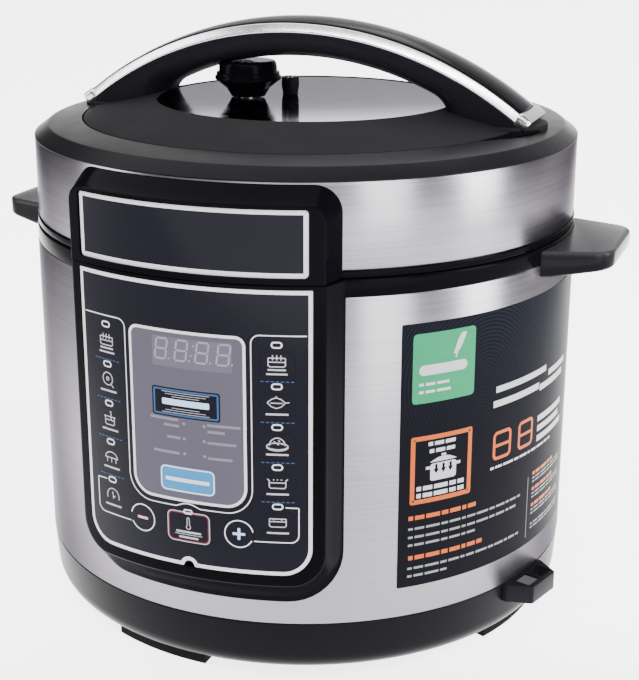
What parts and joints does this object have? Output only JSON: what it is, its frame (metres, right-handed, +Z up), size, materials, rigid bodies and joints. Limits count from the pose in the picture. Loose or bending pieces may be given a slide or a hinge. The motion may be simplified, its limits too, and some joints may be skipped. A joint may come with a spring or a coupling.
{
  "type": "electric pressure cooker",
  "caption": "Round electric pressure cooker with a steel body, a control panel of press keys, a bayonet lid with an arched handle, and a lift-out inner pot.",
  "frame": {"origin": "on the table plane, on the axis of the round body", "axes": "+Z up along the body's axis, control panel facing -Y, side handles along X"},
  "size_m": [0.338, 0.3264, 0.306],
  "materials": {
    "black_plastic": "satin black moulding",
    "gloss_black": "gloss black moulding",
    "satin_black": "fine satin charcoal moulding",
    "rubber": "dull rubber",
    "steel_brushed": "horizontally brushed stainless steel",
    "chrome": "satin chrome plating",
    "mirror_disc": "high gloss grey disc",
    "steel_inner": "plain stainless steel",
    "aluminium": "cast aluminium",
    "brass": "turned metal",
    "pot_coating": "grey non-stick coating",
    "silicone": "translucent silicone",
    "panel_print": "printed gloss film",
    "display_smoke": "smoked display film",
    "label_print": "printed label",
    "circuit_board": "green circuit board",
    "dark_component": "moulded component",
    "cup_smoke": "smoked clear plastic",
    "key_print": "printed gloss key",
    "key_blue": "blue printed key"
  },
  "bodies": {
    "housing": {"base_housing": "black_plastic", "rubber_feet": "rubber", "outer_shell": "steel_brushed", "upper_collar": "black_plastic", "side_handle_left": "black_plastic", "side_handle_right": "black_plastic", "control_bezel": "gloss_black", "control_overlay": "panel_print", "display_window": "display_smoke", "display_module": "dark_component", "control_board": "circuit_board", "key_switches": "dark_component", "pressure_housing": "steel_inner", "locking_ring": "steel_inner", "heating_plate": "aluminium", "pressure_switch": "dark_component", "thermal_fuse": "steel_inner", "power_board": "circuit_board", "power_inlet": "black_plastic", "spoon_holder": "black_plastic", "side_label": "label_print", "housing_screws": "steel_inner", "cup_bracket": "black_plastic"},
    "sensor": {"temperature_sensor": "aluminium", "sensor_spring": "steel_inner"},
    "cup": {"condensation_cup": "cup_smoke"},
    "pot": {"inner_pot": "pot_coating"},
    "lid_seal": {"sealing_ring": "silicone"},
    "lid": {"lid_cover": "satin_black", "lid_outer_ring": "satin_black", "lid_band": "steel_brushed", "lid_skirt": "black_plastic", "lid_bezel": "gloss_black", "lid_name_plate": "panel_print", "lid_top_disc": "mirror_disc", "handle_body": "black_plastic", "handle_cover": "gloss_black", "handle_trim": "chrome", "lid_liner": "steel_inner", "steam_pipe": "brass", "float_guard": "black_plastic", "anti_block_shield": "steel_inner", "handle_screws": "steel_inner"},
    "knob": {"regulator_knob": "black_plastic"},
    "float": {"float_valve": "steel_inner"},
    "key_left_1_cap": {"key_left_1": "key_print"},
    "key_left_2_cap": {"key_left_2": "key_print"},
    "key_left_3_cap": {"key_left_3": "key_print"},
    "key_left_4_cap": {"key_left_4": "key_print"},
    "key_left_5_cap": {"key_left_5": "key_print"},
    "key_right_1_cap": {"key_right_1": "key_print"},
    "key_right_2_cap": {"key_right_2": "key_print"},
    "key_right_3_cap": {"key_right_3": "key_print"},
    "key_right_4_cap": {"key_right_4": "key_print"},
    "key_right_5_cap": {"key_right_5": "key_print"},
    "key_minus_cap": {"key_minus": "key_print"},
    "key_plus_cap": {"key_plus": "key_print"},
    "key_cancel_cap": {"key_cancel": "key_print"},
    "key_reheat_cap": {"key_reheat": "key_print"},
    "key_manual_cap": {"key_manual": "key_blue"}
  },
  "joints": [
    {"name": "lid_lift", "type": "slide", "parent": "housing", "child": "lid_seal", "axis": [0, 0, 1], "range_m": [0, 0.35]},
    {"name": "lid_twist", "type": "hinge", "parent": "lid_seal", "child": "lid", "pos_m": [0, 0, 0.2], "axis": [0, 0, 1], "range_deg": [0, 22.5]},
    {"name": "pot_lift", "type": "slide", "parent": "housing", "child": "pot", "axis": [0, 0, 1], "range_m": [0, 0.175]},
    {"name": "knob_turn", "type": "hinge", "parent": "lid", "child": "knob", "pos_m": [-0.033, 0, 0.27], "axis": [0, 0, 1], "range_deg": [0, 60]},
    {"name": "float_rise", "type": "slide", "parent": "lid", "child": "float", "axis": [0, 0, 1], "range_m": [0, 0.0045]},
    {"name": "sensor_press", "type": "slide", "parent": "housing", "child": "sensor", "axis": [0, 0, -1], "range_m": [0, 0.0025], "stiffness_N_per_m": 800, "springref_m": -0.004, "deforming": ["sensor_spring"]},
    {"name": "cup_pull", "type": "slide", "parent": "housing", "child": "cup", "axis": [0, 1, 0], "range_m": [0, 0.045]},
    {"name": "key_left_1_press", "type": "slide", "parent": "housing", "child": "key_left_1_cap", "axis": [0, 1, 0], "range_m": [0, 0.0005], "stiffness_N_per_m": 2000, "springref_m": -0.0005},
    {"name": "key_left_2_press", "type": "slide", "parent": "housing", "child": "key_left_2_cap", "axis": [0, 1, 0], "range_m": [0, 0.0005], "stiffness_N_per_m": 2000, "springref_m": -0.0005},
    {"name": "key_left_3_press", "type": "slide", "parent": "housing", "child": "key_left_3_cap", "axis": [0, 1, 0], "range_m": [0, 0.0005], "stiffness_N_per_m": 2000, "springref_m": -0.0005},
    {"name": "key_left_4_press", "type": "slide", "parent": "housing", "child": "key_left_4_cap", "axis": [0, 1, 0], "range_m": [0, 0.0005], "stiffness_N_per_m": 2000, "springref_m": -0.0005},
    {"name": "key_left_5_press", "type": "slide", "parent": "housing", "child": "key_left_5_cap", "axis": [0, 1, 0], "range_m": [0, 0.0005], "stiffness_N_per_m": 2000, "springref_m": -0.0005},
    {"name": "key_right_1_press", "type": "slide", "parent": "housing", "child": "key_right_1_cap", "axis": [0, 1, 0], "range_m": [0, 0.0005], "stiffness_N_per_m": 2000, "springref_m": -0.0005},
    {"name": "key_right_2_press", "type": "slide", "parent": "housing", "child": "key_right_2_cap", "axis": [0, 1, 0], "range_m": [0, 0.0005], "stiffness_N_per_m": 2000, "springref_m": -0.0005},
    {"name": "key_right_3_press", "type": "slide", "parent": "housing", "child": "key_right_3_cap", "axis": [0, 1, 0], "range_m": [0, 0.0005], "stiffness_N_per_m": 2000, "springref_m": -0.0005},
    {"name": "key_right_4_press", "type": "slide", "parent": "housing", "child": "key_right_4_cap", "axis": [0, 1, 0], "range_m": [0, 0.0005], "stiffness_N_per_m": 2000, "springref_m": -0.0005},
    {"name": "key_right_5_press", "type": "slide", "parent": "housing", "child": "key_right_5_cap", "axis": [0, 1, 0], "range_m": [0, 0.0005], "stiffness_N_per_m": 2000, "springref_m": -0.0005},
    {"name": "key_minus_press", "type": "slide", "parent": "housing", "child": "key_minus_cap", "axis": [0, 1, 0], "range_m": [0, 0.0005], "stiffness_N_per_m": 2000, "springref_m": -0.0005},
    {"name": "key_plus_press", "type": "slide", "parent": "housing", "child": "key_plus_cap", "axis": [0, 1, 0], "range_m": [0, 0.0005], "stiffness_N_per_m": 2000, "springref_m": -0.0005},
    {"name": "key_cancel_press", "type": "slide", "parent": "housing", "child": "key_cancel_cap", "axis": [0, 1, 0], "range_m": [0, 0.0005], "stiffness_N_per_m": 2000, "springref_m": -0.0005},
    {"name": "key_reheat_press", "type": "slide", "parent": "housing", "child": "key_reheat_cap", "axis": [0, 1, 0], "range_m": [0, 0.0005], "stiffness_N_per_m": 2000, "springref_m": -0.0005},
    {"name": "key_manual_press", "type": "slide", "parent": "housing", "child": "key_manual_cap", "axis": [0, 1, 0], "range_m": [0, 0.0005], "stiffness_N_per_m": 2000, "springref_m": -0.0005}
  ],
  "couplings": [
    {"joint": "pot_lift", "follows": "lid_lift", "ratio": 0.5}
  ]
}
